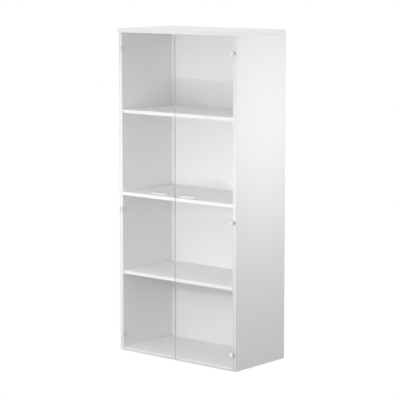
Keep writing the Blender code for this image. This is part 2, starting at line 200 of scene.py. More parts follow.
def quads_between(rings: int, steps: int, closed: bool) -> np.ndarray:
    """Return the vertex numbers of the faces between neighbouring rings.

    Args:
        rings: how many rings there are.
        steps: how many points each ring has.
        closed: whether the last ring joins the first again.

    Returns:
        An array of faces by four vertex numbers.
    """
    row = np.arange(rings if closed else rings - 1)[:, None]
    column = np.arange(steps)[None, :]
    after_row, after_column = (row + 1) % rings, (column + 1) % steps
    corners = (
        row * steps + column,
        row * steps + after_column,
        after_row * steps + after_column,
        after_row * steps + column,
    )
    return np.stack([np.broadcast_to(c, (row.size, steps)) for c in corners], axis=-1).reshape(-1, 4)


@dataclass
class Surface:
    """A closed surface in the making: its points, four-sided faces and triangles."""

    points: np.ndarray
    quads: np.ndarray
    triangles: np.ndarray = field(default_factory=lambda: np.empty((0, 3), dtype=int))

    @classmethod
    def capped(cls, rings: np.ndarray) -> "Surface":
        """Close a stack of rings with a point in the middle of its first and last ring.

        Args:
            rings: rings by points by three coordinates.

        Returns:
            The closed surface.
        """
        count, steps = rings.shape[:2]
        ends = np.stack((rings[0].mean(axis=0), rings[-1].mean(axis=0)))
        points = np.concatenate((rings.reshape(-1, 3), ends))
        column = np.arange(steps)
        after = (column + 1) % steps
        first = np.stack((np.full(steps, count * steps), after, column), axis=-1)
        base = (count - 1) * steps
        last = np.stack((np.full(steps, count * steps + 1), base + column, base + after), axis=-1)
        return cls(points, quads_between(count, steps, closed=False), np.concatenate((first, last)))

    @classmethod
    def looped(cls, rings: np.ndarray) -> "Surface":
        """Join a loop of rings into a ring-shaped surface, whose section is the loop.

        Args:
            rings: rings by points by three coordinates, in order round the section.

        Returns:
            The closed surface.
        """
        count, steps = rings.shape[:2]
        return cls(rings.reshape(-1, 3), quads_between(count, steps, closed=True))

    def outward(self) -> "Surface":
        """Return the surface with its faces pointing outwards."""
        split = np.concatenate((self.quads[:, [0, 1, 2]], self.quads[:, [0, 2, 3]], self.triangles))
        middle = self.points.mean(axis=0)
        if signed_volume(self.points - middle, split) >= 0:
            return self
        return Surface(self.points, self.quads[:, ::-1], self.triangles[:, ::-1])


def make_piece(
    name: str, surfaces: list[Surface], material: bpy.types.Material, crease: float = 40.0
) -> bpy.types.Object:
    """Put closed surfaces into one mesh object at the origin.

    Args:
        name: the piece's name.
        surfaces: the closed surfaces that the piece is made of.
        material: its finish.
        crease: the angle in degrees above which an edge stays sharp.

    Returns:
        The new object.
    """
    surfaces = [surface.outward() for surface in surfaces]
    starts = np.cumsum([0] + [len(surface.points) for surface in surfaces])
    points = np.concatenate([surface.points for surface in surfaces])
    quads = np.concatenate([surface.quads + start for surface, start in zip(surfaces, starts)])
    triangles = np.concatenate([surface.triangles + start for surface, start in zip(surfaces, starts)])
    corners = np.concatenate((quads.reshape(-1), triangles.reshape(-1)))
    sizes = np.concatenate((np.full(len(quads), 4), np.full(len(triangles), 3)))

    mesh = bpy.data.meshes.new(name)
    mesh.vertices.add(len(points))
    mesh.vertices.foreach_set("co", points.astype(np.float32).reshape(-1))
    mesh.loops.add(len(corners))
    mesh.loops.foreach_set("vertex_index", corners.astype(np.int32))
    mesh.polygons.add(len(sizes))
    mesh.polygons.foreach_set("loop_start", (np.cumsum(sizes) - sizes).astype(np.int32))
    mesh.update(calc_edges=True)
    mesh.validate()
    mesh.shade_smooth()
    mesh.set_sharp_from_angle(angle=math.radians(crease))
    mesh.materials.append(material)
    piece = bpy.data.objects.new(name, mesh)
    bpy.context.scene.collection.objects.link(piece)
    return piece


def arc(centre: tuple[float, float], radius: float, start: float, end: float, count: int) -> np.ndarray:
    """Return points on a circle's arc.

    Args:
        centre: the circle's centre in the plane of the profile.
        radius: the circle's radius.
        start: the first point's angle in degrees.
        end: the last point's angle in degrees.
        count: how many points to return.

    Returns:
        An array of points by two coordinates.
    """
    angles = np.radians(np.linspace(start, end, count))
    return np.stack((centre[0] + radius * np.cos(angles), centre[1] + radius * np.sin(angles)), axis=-1)


def lathe(axis: Axis, profile: np.ndarray, steps: int = ROUND_STEPS) -> Surface:
    """Turn a profile of (radius, height) points about an axis and cap its ends.

    Args:
        axis: the axis of the turned shape.
        profile: the profile from one end to the other.
        steps: how many points go round.

    Returns:
        The closed surface.
    """
    return Surface.capped(rings_about(axis, profile[:, 0], profile[:, 1], turn_angles(steps)))


def washer(axis: Axis, outer: float, inner: float, height: float, edge: float) -> Surface:
    """Turn a flat ring with rounded outer edges.

    The section is a rectangle from the inner to the outer radius, with a quarter circle at each
    outer corner.

    Args:
        axis: the axis, with height zero at the ring's lower face.
        outer: the outer radius.
        inner: the radius of the hole.
        height: the thickness.
        edge: the radius of the outer corners.

    Returns:
        The closed surface.
    """
    section = np.concatenate((
        [(inner, 0.0)],
        arc((outer - edge, edge), edge, -90, 0, 6),
        arc((outer - edge, height - edge), edge, 0, 90, 6),
        [(inner, height)],
    ))
    return Surface.looped(rings_about(axis, section[:, 0], section[:, 1], turn_angles()))


# ---------------------------------------------------------------- shader building


@dataclass
class NodeSheet:
    """A node tree with short ways to add nodes and links."""

    tree: bpy.types.NodeTree

    def add(self, kind: str, settings: dict[str, object] | None = None, **inputs: object) -> bpy.types.Node:
        """Add a node.

        Args:
            kind: the node's Blender type name.
            settings: the node's own properties.
            inputs: values or sockets by input name, with underscores for spaces.

        Returns:
            The new node.
        """
        node = self.tree.nodes.new(kind)
        for key, value in (settings or {}).items():
            setattr(node, key, value)
        for key, value in inputs.items():
            self.feed(node.inputs[key.replace("_", " ")], value)
        return node

    def feed(self, socket: bpy.types.NodeSocket, value: object) -> None:
        """Link a socket to another socket, or set its value."""
        if isinstance(value, bpy.types.NodeSocket):
            self.tree.links.new(value, socket)
        else:
            socket.default_value = value

    def math(self, operation: str, *values: object, clamp: bool = False) -> bpy.types.NodeSocket:
        """Add a Math node and return its result."""
        node = self.add("ShaderNodeMath", {"operation": operation, "use_clamp": clamp})
        for socket, value in zip(node.inputs, values):
            self.feed(socket, value)
        return node.outputs[0]

    def blend(self, factor: object, first: object, second: object) -> bpy.types.NodeSocket:
        """Mix two colours by a factor and return the result."""
        node = self.add("ShaderNodeMix", {"data_type": "RGBA"})
        self.feed(node.inputs[0], factor)
        self.feed(node.inputs[6], first)
        self.feed(node.inputs[7], second)
        return node.outputs[2]

    def smooth(
        self, value: object, low: float, high: float, to_low: float = 0.0, to_high: float = 1.0
    ) -> bpy.types.NodeSocket:
        """Ease a value from one range to another and return the result."""
        node = self.add("ShaderNodeMapRange", {"interpolation_type": "SMOOTHSTEP"})
        for socket, number in zip(node.inputs, (value, low, high, to_low, to_high)):
            self.feed(socket, number)
        return node.outputs[0]


@dataclass
class Effect:
    """A shader node group that several finishes share."""

    name: str
    inputs: dict[str, float]
    outputs: tuple[str, ...]
    tree: bpy.types.NodeTree = field(init=False)
    sheet: NodeSheet = field(init=False)

    def __post_init__(self) -> None:
        """Make the empty group with its sockets."""
        self.tree = bpy.data.node_groups.new(self.name, "ShaderNodeTree")
        self.sheet = NodeSheet(self.tree)
        self.tree.interface.new_socket(name="Position", in_out="INPUT", socket_type="NodeSocketVector")
        for label, value in self.inputs.items():
            socket = self.tree.interface.new_socket(
                name=label, in_out="INPUT", socket_type="NodeSocketFloat"
            )
            socket.default_value = value
        for label in self.outputs:
            self.tree.interface.new_socket(name=label, in_out="OUTPUT", socket_type="NodeSocketFloat")
        self.source = self.tree.nodes.new("NodeGroupInput")
        self.result = self.tree.nodes.new("NodeGroupOutput")

    def read(self, label: str) -> bpy.types.NodeSocket:
        """Return the socket that brings an input into the group."""
        return self.source.outputs[label]

    def write(self, label: str, value: bpy.types.NodeSocket) -> None:
        """Send a value out of the group."""
        self.tree.links.new(value, self.result.inputs[label])

    def place(self, sheet: NodeSheet, position: bpy.types.NodeSocket, **values: float) -> bpy.types.Node:
        """Place the group in a material.

        Args:
            sheet: the material's node sheet.
            position: the socket that gives the place on the piece.
            values: the group's inputs by name, with underscores for spaces.

        Returns:
            The group's node.
        """
        node = sheet.add("ShaderNodeGroup", {"node_tree": self.tree})
        sheet.feed(node.inputs["Position"], position)
        for key, value in values.items():
            sheet.feed(node.inputs[key.replace("_", " ")], value)
        return node


@dataclass
class Effects:
    """The shader node groups of the bookcase, each built once."""

    peel: Effect = field(init=False)
    mottle: Effect = field(init=False)
    dust: Effect = field(init=False)
    smudge: Effect = field(init=False)
    brushing: Effect = field(init=False)
    edging: Effect = field(init=False)

    def __post_init__(self) -> None:
        """Build every group."""
        self.peel = self.build_peel()
        self.mottle = self.build_mottle()
        self.dust = self.build_dust()
        self.smudge = self.build_smudge()
        self.brushing = self.build_brushing()
        self.edging = self.build_edging()

    @staticmethod
    def build_peel() -> Effect:
        """Build the pebbled height of a pressed board face: soft cells with finer noise on them."""
        effect = Effect("pebbled_face", {"Scale": 700.0, "Fineness": 0.4}, ("Height",))
        sheet = effect.sheet
        cells = sheet.add(
            "ShaderNodeTexVoronoi",
            {"feature": "SMOOTH_F1"},
            Vector=effect.read("Position"),
            Scale=effect.read("Scale"),
        )
        finer = sheet.add("ShaderNodeTexNoise", Vector=effect.read("Position"), Detail=3.0)
        sheet.feed(finer.inputs["Scale"], sheet.math("MULTIPLY", effect.read("Scale"), 2.3))
        extra = sheet.math("MULTIPLY", finer.outputs[0], effect.read("Fineness"))
        effect.write("Height", sheet.math("ADD", cells.outputs[0], extra))
        return effect

    @staticmethod
    def build_mottle() -> Effect:
        """Build a slow cloudiness between 0 and 1, as light and dark patches of one sheet."""
        effect = Effect("cloudy_tone", {"Scale": 3.0, "Softness": 0.25}, ("Tone",))
        sheet = effect.sheet
        clouds = sheet.add("ShaderNodeTexNoise", Vector=effect.read("Position"), Detail=4.0, Roughness=0.55)
        sheet.feed(clouds.inputs["Scale"], effect.read("Scale"))
        spread = sheet.add("ShaderNodeMapRange", Value=clouds.outputs[0])
        sheet.feed(spread.inputs["From Min"], sheet.math("SUBTRACT", 0.5, effect.read("Softness")))
        sheet.feed(spread.inputs["From Max"], sheet.math("ADD", 0.5, effect.read("Softness")))
        effect.write("Tone", spread.outputs[0])
        return effect

    @staticmethod
    def build_dust() -> Effect:
        """Build a mask of dust: most on faces that look up, broken by specks."""
        effect = Effect("settled_dust", {"Amount": 0.3, "Speck Scale": 160.0}, ("Mask",))
        sheet = effect.sheet
        facing = sheet.add("ShaderNodeNewGeometry")
        parts = sheet.add("ShaderNodeSeparateXYZ", Vector=facing.outputs["Normal"])
        upward = sheet.smooth(parts.outputs[2], 0.55, 1.0)
        drift = sheet.add("ShaderNodeTexNoise", Vector=effect.read("Position"), Scale=6.0, Detail=5.0)
        specks = sheet.add("ShaderNodeTexNoise", Vector=effect.read("Position"), Detail=2.0)
        sheet.feed(specks.inputs["Scale"], effect.read("Speck Scale"))
        grain = sheet.math("MULTIPLY", sheet.smooth(drift.outputs[0], 0.35, 0.75), specks.outputs[0])
        cover = sheet.math("MULTIPLY", sheet.math("MULTIPLY", upward, grain), effect.read("Amount"))
        effect.write("Mask", cover)
        return effect

    @staticmethod
    def build_smudge() -> Effect:
        """Build a mask of finger marks: fine ridged noise that fades with distance from a height."""
        effect = Effect("finger_marks", {"Height": 0.88, "Reach": 0.25, "Scale": 40.0}, ("Mask",))
        sheet = effect.sheet
        parts = sheet.add("ShaderNodeSeparateXYZ", Vector=effect.read("Position"))
        away = sheet.math("ABSOLUTE", sheet.math("SUBTRACT", parts.outputs[2], effect.read("Height")))
        near = sheet.math("SUBTRACT", 1.0, sheet.math("DIVIDE", away, effect.read("Reach")), clamp=True)
        blots = sheet.add("ShaderNodeTexNoise", Vector=effect.read("Position"), Detail=6.0, Distortion=0.8)
        sheet.feed(blots.inputs["Scale"], effect.read("Scale"))
        effect.write("Mask", sheet.math("MULTIPLY", near, sheet.smooth(blots.outputs[0], 0.5, 0.72)))
        return effect

    @staticmethod
    def build_brushing() -> Effect:
        """Build the fine lines of brushed metal: noise stretched along Z."""
        effect = Effect("brushed_lines", {"Scale": 900.0, "Stretch": 0.03}, ("Line",))
        sheet = effect.sheet
        stretch = sheet.add("ShaderNodeCombineXYZ", X=1.0, Y=1.0)
        sheet.feed(stretch.inputs["Z"], effect.read("Stretch"))
        drawn = sheet.add("ShaderNodeVectorMath", {"operation": "MULTIPLY"})
        sheet.feed(drawn.inputs[0], effect.read("Position"))
        sheet.feed(drawn.inputs[1], stretch.outputs[0])
        lines = sheet.add("ShaderNodeTexNoise", Vector=drawn.outputs[0], Detail=4.0, Roughness=0.7)
        sheet.feed(lines.inputs["Scale"], effect.read("Scale"))
        effect.write("Line", lines.outputs[0])
        return effect

    @staticmethod
    def build_edging() -> Effect:
        """Build the masks of a board's front edging: the strip itself and the glue line behind it."""
        effect = Effect("front_edging", {"Front": -0.2, "Strip": 0.0010, "Line": 0.0003}, ("Strip", "Glue"))
        sheet = effect.sheet
        parts = sheet.add("ShaderNodeSeparateXYZ", Vector=effect.read("Position"))
        depth = sheet.math("SUBTRACT", parts.outputs[1], effect.read("Front"))
        effect.write("Strip", sheet.math("LESS_THAN", depth, effect.read("Strip")))
        from_line = sheet.math("ABSOLUTE", sheet.math("SUBTRACT", depth, effect.read("Strip")))
        effect.write("Glue", sheet.math("LESS_THAN", from_line, effect.read("Line")))
        return effect


def grey(value: float) -> tuple[float, float, float, float]:
    """Return a neutral colour."""
    return (value, value, value, 1.0)


@dataclass(frozen=True)
class Finish:
    """What every finish shares: a name and the shared effects."""

    name: str
    effects: Effects

    def start(self) -> tuple[bpy.types.Material, NodeSheet, bpy.types.Node, bpy.types.NodeSocket]:
        """Begin a material.

        Returns:
            The material, its sheet, its Principled shader and the socket of Object coordinates.
        """
        material = bpy.data.materials.new(self.name)
        material.use_nodes = True
        sheet = NodeSheet(material.node_tree)
        shader = material.node_tree.nodes["Principled BSDF"]
        place = sheet.add("ShaderNodeTexCoord").outputs["Object"]
        return material, sheet, shader, place

    @staticmethod
    def relief(
        sheet: NodeSheet, shader: bpy.types.Node, height: object, strength: float, distance: float
    ) -> None:
        """Give a shader a bump from a height."""
        bump = sheet.add("ShaderNodeBump", Strength=strength, Distance=distance, Height=height)
        sheet.feed(shader.inputs["Normal"], bump.outputs[0])


@dataclass(frozen=True)
class BoardFinish(Finish):
    """White melamine board with a fine pebbled face, front edging and a trace of dust."""

    tone: float = 0.86
    front: float = -0.2
    roughness: float = 0.42
    pebble: float = 0.05
    dust: float = 0.25

    def make(self) -> bpy.types.Material:
        """Build the material and return it."""
        material, sheet, shader, place = self.start()
        cloud = self.effects.mottle.place(sheet, place, Scale=2.2).outputs["Tone"]
        face = sheet.blend(cloud, grey(self.tone - 0.006), grey(self.tone + 0.006))
        edging = self.effects.edging.place(sheet, place, Front=self.front)
        lined = sheet.blend(sheet.math("MULTIPLY", edging.outputs["Glue"], 0.45), face, grey(self.tone * 0.72))
        dust = self.effects.dust.place(sheet, place, Amount=self.dust).outputs["Mask"]
        sheet.feed(shader.inputs["Base Color"], sheet.blend(dust, lined, (0.70, 0.69, 0.67, 1.0)))
        gloss = sheet.math("SUBTRACT", self.roughness, sheet.math("MULTIPLY", edging.outputs["Strip"], 0.10))
        sheet.feed(shader.inputs["Roughness"], sheet.math("ADD", gloss, sheet.math("MULTIPLY", dust, 0.4)))
        shader.inputs["IOR"].default_value = 1.47
        pebbles = self.effects.peel.place(sheet, place, Scale=620.0).outputs["Height"]
        self.relief(sheet, shader, pebbles, self.pebble, 0.0002)
        return material


@dataclass(frozen=True)
class BackFinish(Finish):
    """White lacquered hardboard: matt, with a faint woven press mark on it."""

    tone: float = 0.86
    roughness: float = 0.6

    def make(self) -> bpy.types.Material:
        """Build the material and return it."""
        material, sheet, shader, place = self.start()
        cloud = self.effects.mottle.place(sheet, place, Scale=3.5).outputs["Tone"]
        face = sheet.blend(cloud, grey(self.tone - 0.008), grey(self.tone + 0.005))
        sheet.feed(shader.inputs["Base Color"], face)
        fibres = self.effects.peel.place(sheet, place, Scale=420.0, Fineness=0.9).outputs["Height"]
        rough = sheet.smooth(cloud, 0.0, 1.0, self.roughness - 0.05, self.roughness)
        sheet.feed(shader.inputs["Roughness"], rough)
        self.relief(sheet, shader, fibres, 0.10, 0.0003)
        return material


@dataclass(frozen=True)
class GlassFinish(Finish):
    """Clear toughened glass that lets lamps through, with fine-ground edges.

    The faces are faintly marked by fingers near the handles.
    """

    tint: tuple[float, float, float] = (0.988, 0.992, 0.990)
    handle_height: float = 0.88
    ground_roughness: float = 0.55
    frost: tuple[float, float, float] = (0.90, 0.92, 0.91)
    frost_share: float = 0.80
    mark_roughness: float = 0.05
    edge_turn: tuple[float, float] = (0.2, 0.9)

    def make(self) -> bpy.types.Material:
        """Build the material and return it."""
        material, sheet, shader, place = self.start()
        marks = self.effects.smudge.place(sheet, place, Height=self.handle_height).outputs["Mask"]
        shader.inputs["Base Color"].default_value = (*self.tint, 1.0)
        shader.inputs["Transmission Weight"].default_value = 1.0
        shader.inputs["IOR"].default_value = 1.5
        facing = sheet.add("ShaderNodeTexCoord").outputs["Normal"]
        flat = sheet.math("ABSOLUTE", sheet.add("ShaderNodeSeparateXYZ", Vector=facing).outputs[1])
        ground = sheet.smooth(flat, *self.edge_turn, self.ground_roughness, 0.0)
        smeared = sheet.math("MULTIPLY", marks, self.mark_roughness)
        sheet.feed(shader.inputs["Roughness"], sheet.math("MAXIMUM", ground, smeared))
        clear = sheet.add("ShaderNodeBsdfTransparent", Color=(*self.tint, 1.0))
        path = sheet.add("ShaderNodeLightPath")
        unseen = sheet.math("MAXIMUM", path.outputs["Is Shadow Ray"], path.outputs["Is Diffuse Ray"])
        mix = sheet.add("ShaderNodeMixShader")
        sheet.feed(mix.inputs[0], unseen)
        sheet.feed(mix.inputs[1], shader.outputs[0])
        sheet.feed(mix.inputs[2], clear.outputs[0])
        frost = sheet.add("ShaderNodeBsdfDiffuse", Color=(*self.frost, 1.0))
        edged = sheet.add("ShaderNodeMixShader")
        sheet.feed(edged.inputs[0], sheet.smooth(flat, *self.edge_turn, self.frost_share, 0.0))
        sheet.feed(edged.inputs[1], mix.outputs[0])
        sheet.feed(edged.inputs[2], frost.outputs[0])
        output = material.node_tree.nodes["Material Output"]
        sheet.feed(output.inputs["Surface"], edged.outputs[0])
        return material


@dataclass(frozen=True)
class MetalFinish(Finish):
    """Plated metal, bright or satin, with fine lines or a cloudy polish on it."""

    colour: tuple[float, float, float] = (0.85, 0.85, 0.86)
    roughness: float = 0.12
    spread: float = 0.06
    brushed: bool = False

    def make(self) -> bpy.types.Material:
        """Build the material and return it."""
        material, sheet, shader, place = self.start()
        shader.inputs["Metallic"].default_value = 1.0
        cloud = self.effects.mottle.place(sheet, place, Scale=90.0).outputs["Tone"]
        dark = tuple(channel * 0.94 for channel in self.colour)
        sheet.feed(shader.inputs["Base Color"], sheet.blend(cloud, (*dark, 1.0), (*self.colour, 1.0)))
        if self.brushed:
            pattern = self.effects.brushing.place(sheet, place).outputs["Line"]
        else:
            pattern = self.effects.peel.place(sheet, place, Scale=1500.0).outputs["Height"]
        rough = sheet.math("MULTIPLY", pattern, self.spread)
        sheet.feed(shader.inputs["Roughness"], sheet.math("ADD", rough, self.roughness))
        self.relief(sheet, shader, pattern, 0.08 if self.brushed else 0.02, 0.0001)
        return material


@dataclass(frozen=True)
class CoatedFinish(Finish):
    """Baked white powder coat on metal, faintly rippled, with a slow cloudy tone."""

    tone: float = 0.86
    roughness: float = 0.36

    def make(self) -> bpy.types.Material:
        """Build the material and return it."""
        material, sheet, shader, place = self.start()
        cloud = self.effects.mottle.place(sheet, place, Scale=60.0).outputs["Tone"]
        sheet.feed(shader.inputs["Base Color"], sheet.blend(cloud, grey(self.tone - 0.02), grey(self.tone)))
        ripple = self.effects.peel.place(sheet, place, Scale=1100.0).outputs["Height"]
        rough = sheet.smooth(cloud, 0.0, 1.0, self.roughness, self.roughness + 0.06)
        sheet.feed(shader.inputs["Roughness"], rough)
        self.relief(sheet, shader, ripple, 0.08, 0.0001)
        return material


@dataclass(frozen=True)
class ClearPlasticFinish(Finish):
    """Soft clear plastic of gaskets and bumpers, a little cloudy."""

    colour: tuple[float, float, float] = (0.86, 0.87, 0.87)

    def make(self) -> bpy.types.Material:
        """Build the material and return it."""
        material, sheet, shader, place = self.start()
        cloud = self.effects.mottle.place(sheet, place, Scale=300.0).outputs["Tone"]
        milky = tuple(channel * 0.93 for channel in self.colour)
        sheet.feed(shader.inputs["Base Color"], sheet.blend(cloud, (*milky, 1.0), (*self.colour, 1.0)))
        sheet.feed(shader.inputs["Roughness"], sheet.smooth(cloud, 0.0, 1.0, 0.22, 0.34))
        shader.inputs["Transmission Weight"].default_value = 0.45
        shader.inputs["IOR"].default_value = 1.46
        return material


@dataclass(frozen=True)
class CoverFinish(Finish):
    """Moulded white plastic of the covers over the board fittings."""

    tone: float = 0.84

    def make(self) -> bpy.types.Material:
        """Build the material and return it."""
        material, sheet, shader, place = self.start()
        cloud = self.effects.mottle.place(sheet, place, Scale=120.0).outputs["Tone"]
        sheet.feed(shader.inputs["Base Color"], sheet.blend(cloud, grey(self.tone - 0.02), grey(self.tone)))
        grain = self.effects.peel.place(sheet, place, Scale=2200.0).outputs["Height"]
        sheet.feed(shader.inputs["Roughness"], sheet.smooth(cloud, 0.0, 1.0, 0.40, 0.50))
        self.relief(sheet, shader, grain, 0.05, 0.0001)
        return material


# ---------------------------------------------------------------- hardware


@dataclass(frozen=True)
class Screw:
    """A pan-head screw seen from its head, with an optional cross cut into it."""

    head_radius: float = 0.0036
    head_height: float = 0.0018
    shank_radius: float = 0.0016
    cross_reach: float = 0.0020
    cross_width: float = 0.0005
    cross_depth: float = 0.0008
    recess: Recess = Recess.CROSS

    def surface(self, axis: Axis, length: float) -> Surface:
        """Work out the screw's surface.

        The head is a dome: its height falls from the middle with the fourth power of the radius, and
        a cross is pressed into it, deepest in the middle and fading at the ends of its arms. Below
        the head the shank is a plain rod with a blunt point.

        Args:
            axis: the screw's axis, with height zero at the seat and heights growing to the head.
            length: how far the shank reaches below the seat.

        Returns:
            The closed surface.
        """
        angles = turn_angles()
        share = np.linspace(0.04, 1.0, 26)
        radius = np.repeat((share * self.head_radius)[:, None], angles.size, axis=1)
        rim = self.head_height * 0.35
        height = rim + (self.head_height - rim) * np.sqrt(np.clip(1 - share**4, 0, 1))
        height = np.repeat(height[:, None], angles.size, axis=1)
        if self.recess is Recess.CROSS:
            height -= self.cross_depth * self.cross_mask(radius, angles)
        below = np.array([
            (self.head_radius, 0.0),
            (self.shank_radius, 0.0),
            (self.shank_radius, -length + self.shank_radius),
            (self.shank_radius * 0.4, -length),
        ])
        lower = rings_about(axis, below[:, 0], below[:, 1], angles)
        return Surface.capped(np.concatenate((rings_about(axis, radius, height, angles), lower)))

    def cross_mask(self, radius: np.ndarray, angles: np.ndarray) -> np.ndarray:
        """Return how deep the cross is at each point, from 0 outside it to 1 in its middle."""
        x = np.abs(radius * np.cos(angles))
        y = np.abs(radius * np.sin(angles))
        arm = np.clip((self.cross_width - np.minimum(x, y)) / (self.cross_width * 0.4), 0, 1)
        fade = np.clip((self.cross_reach - np.maximum(x, y)) / (self.cross_reach * 0.5), 0, 1)
        return arm * fade


@dataclass
class Hinge:
    """One hinge: its leaves stay as packed, and the turned pieces around them are made here."""

    side: Side
    level: Level
    bright: bpy.types.Material
    satin: bpy.types.Material
    zinc: bpy.types.Material
    plastic: bpy.types.Material
    coated: bpy.types.Material
    rim_share: float = 0.42
    rim_round: float = 0.0008
    stud_radius: float = 0.0030
    gasket_edge: float = 0.0001
    gasket_inset: float = 0.0012
    nut_chamfer: float = 0.0003
    screw: Screw = Screw()
    screw_spacing: float = 0.012
    screw_setback: float = 0.024
    screw_length: float = 0.013
    cap_stand_off: float = 0.0008
    pin_share: float = 0.65
    pin_head: float = 0.0015
    sleeve_wall: float = 0.0003
    side_front: float = 0.0

    @property
    def tag(self) -> str:
        """Return the end of this hinge's node names."""
        return f"{self.side.label}_{self.level.value}"

    def build(self) -> Iterator[bpy.types.Object]:
        """Make and place every piece of the hinge, one after the other."""
        yield self.build_cap()
        yield self.build_nut()
        yield self.build_pin()
        yield self.build_gaskets()
        yield self.build_screws()

    def dress(self, nodes: dict[str, bpy.types.Object]) -> None:
        """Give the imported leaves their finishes: white on the board, satin behind the glass."""
        dress_node(nodes[f"hinge_base_{self.tag}"], self.coated)
        dress_node(nodes[f"hinge_leaf_{self.tag}"], self.satin)

    def build_cap(self) -> bpy.types.Object:
        """Turn the cap: a dome with a soft rim and a shallow ring, and the stud behind it."""
        node = f"hinge_cap_{self.tag}"
        box = NodeBox.of(node)
        radius = box.size[2] / 2
        height = NodeBox.of(f"glass_door_{self.side.label}").low[1] - self.cap_stand_off - box.low[1]
        rim = height * self.rim_share
        around = np.linspace(0.02, 1.0, 40) * math.pi / 2
        crown = radius - self.rim_round * 0.35
        dome = np.stack((crown * np.sin(around), rim + (height - rim) * np.cos(around)), axis=-1)
        groove = np.exp(-(((dome[:, 0] / radius - 0.62) / 0.05) ** 2)) * 0.00018
        dome[:, 1] -= groove
        profile = np.concatenate((
            dome,
            arc((radius - self.rim_round, rim - self.rim_round * 0.6), self.rim_round, 45, 0, 5),
            arc((radius - self.rim_round / 2, self.rim_round / 2), self.rim_round / 2, 0, -90, 5),
            [(self.stud_radius, 0.0), (self.stud_radius, height - box.size[1])],
        ))
        axis = Axis.facing(np.array((box.centre[0], box.low[1] + height, box.centre[2])), (0, -1, 0))
        piece = make_piece(f"hinge_cap_turned_{self.tag}", [lathe(axis, profile)], self.bright, crease=50)
        return settle(piece, self.side.body, "bright_metal", node)

    def build_nut(self) -> bpy.types.Object:
        """Make the thin hexagon nut behind the glass, with its corners turned down."""
        node = f"hinge_nut_{self.tag}"
        box = NodeBox.of(node)
        corner = max(box.size[0], box.size[2]) / 2
        angles = turn_angles(96)
        sector = np.mod(angles, math.pi / 3) - math.pi / 6
        flats = corner * math.cos(math.pi / 6) / np.cos(sector)
        turned_down = np.minimum(flats, corner - self.nut_chamfer * 1.6)
        hole = np.full(angles.size, self.stud_radius + 0.0003)
        thick = box.size[1]
        radius = np.stack((hole, turned_down, flats, flats, turned_down, hole))
        height = np.array((0.0, 0.0, self.nut_chamfer, thick - self.nut_chamfer, thick, thick))
        axis = Axis.facing(np.array((box.centre[0], box.low[1], box.centre[2])), (0, 1, 0))
        surface = Surface.looped(rings_about(axis, radius, height, angles))
        piece = make_piece(f"hinge_nut_cut_{self.tag}", [surface], self.zinc, crease=20)
        return settle(piece, self.side.body, "zinc", node)

    def build_pin(self) -> bpy.types.Object:
        """Turn the hinge pin with a domed head at each end."""
        node = f"hinge_pin_{self.tag}"
        box = NodeBox.of(node)
        head, tall = box.size[0] / 2, box.size[2] / 2
        pin = head * self.pin_share
        thick = self.pin_head
        upper = arc((0.0, 0.0), 1.0, 88, 0, 10) * (head, thick) + (0.0, tall - thick)
        half = np.concatenate((upper, [(pin, tall - thick)]))
        profile = np.concatenate((half, half[::-1] * (1.0, -1.0)))
        axis = Axis.facing(box.centre, (0, 0, 1))
        piece = make_piece(f"hinge_pin_turned_{self.tag}", [lathe(axis, profile, 32)], self.satin)
        return settle(piece, "carcass", "satin_metal", node)

    def build_gaskets(self) -> bpy.types.Object:
        """Turn the two clear rings that keep metal off the glass, in front of it and in its hole."""
        cap = NodeBox.of(f"hinge_cap_{self.tag}")
        glass = NodeBox.of(f"glass_door_{self.side.label}")
        outer = cap.size[2] / 2 - self.gasket_inset
        inner = self.stud_radius + CLEARANCE
        centre = cap.centre
        ring_height = self.cap_stand_off - 2 * CLEARANCE
        front = Axis.facing(np.array((centre[0], glass.low[1] - CLEARANCE, centre[2])), (0, -1, 0))
        sleeve = Axis.facing(np.array((centre[0], glass.low[1] + CLEARANCE, centre[2])), (0, 1, 0))
        sleeve_length = glass.size[1] - 2 * CLEARANCE
        surfaces = [
            washer(front, outer, inner, ring_height, self.gasket_edge),
            washer(sleeve, inner + self.sleeve_wall, inner, sleeve_length, self.gasket_edge),
        ]
        piece = make_piece(f"hinge_gaskets_{self.tag}", surfaces, self.plastic)
        return settle(piece, self.side.body, "clear_plastic")

    def build_screws(self) -> bpy.types.Object:
        """Turn the two screws that hold the hinge's base leaf to the side board."""
        box = NodeBox.of(f"hinge_base_{self.tag}")
        plate_x = box.low[0] if self.side is Side.RIGHT else box.high[0]
        surfaces = []
        for offset in (-self.screw_spacing / 2, self.screw_spacing / 2):
            seat = np.array((
                plate_x - self.side.sign * CLEARANCE,
                self.side_front + self.screw_setback,
                box.centre[2] + offset,
            ))
            surfaces.append(self.screw.surface(Axis.facing(seat, (-self.side.sign, 0, 0)), self.screw_length))
        piece = make_piece(f"hinge_screws_{self.tag}", surfaces, self.zinc, crease=30)
        return settle(piece, "carcass", "zinc")


def dress_node(node: bpy.types.Object, material: bpy.types.Material) -> None:
    """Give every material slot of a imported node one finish."""
    if not node.material_slots:
        node.data.materials.append(material)
    for slot in node.material_slots:
        slot.material = material


def settle(piece: bpy.types.Object, body: str, slot: str, *nodes: str) -> bpy.types.Object:
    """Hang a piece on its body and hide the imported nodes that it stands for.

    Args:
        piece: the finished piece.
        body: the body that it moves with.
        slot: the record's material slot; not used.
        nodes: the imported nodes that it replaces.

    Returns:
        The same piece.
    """
    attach(piece, body)
    if nodes:
        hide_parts(*nodes)
    log.info("%s: %d faces, rides on %s", piece.name, len(piece.data.polygons), body)
    return piece


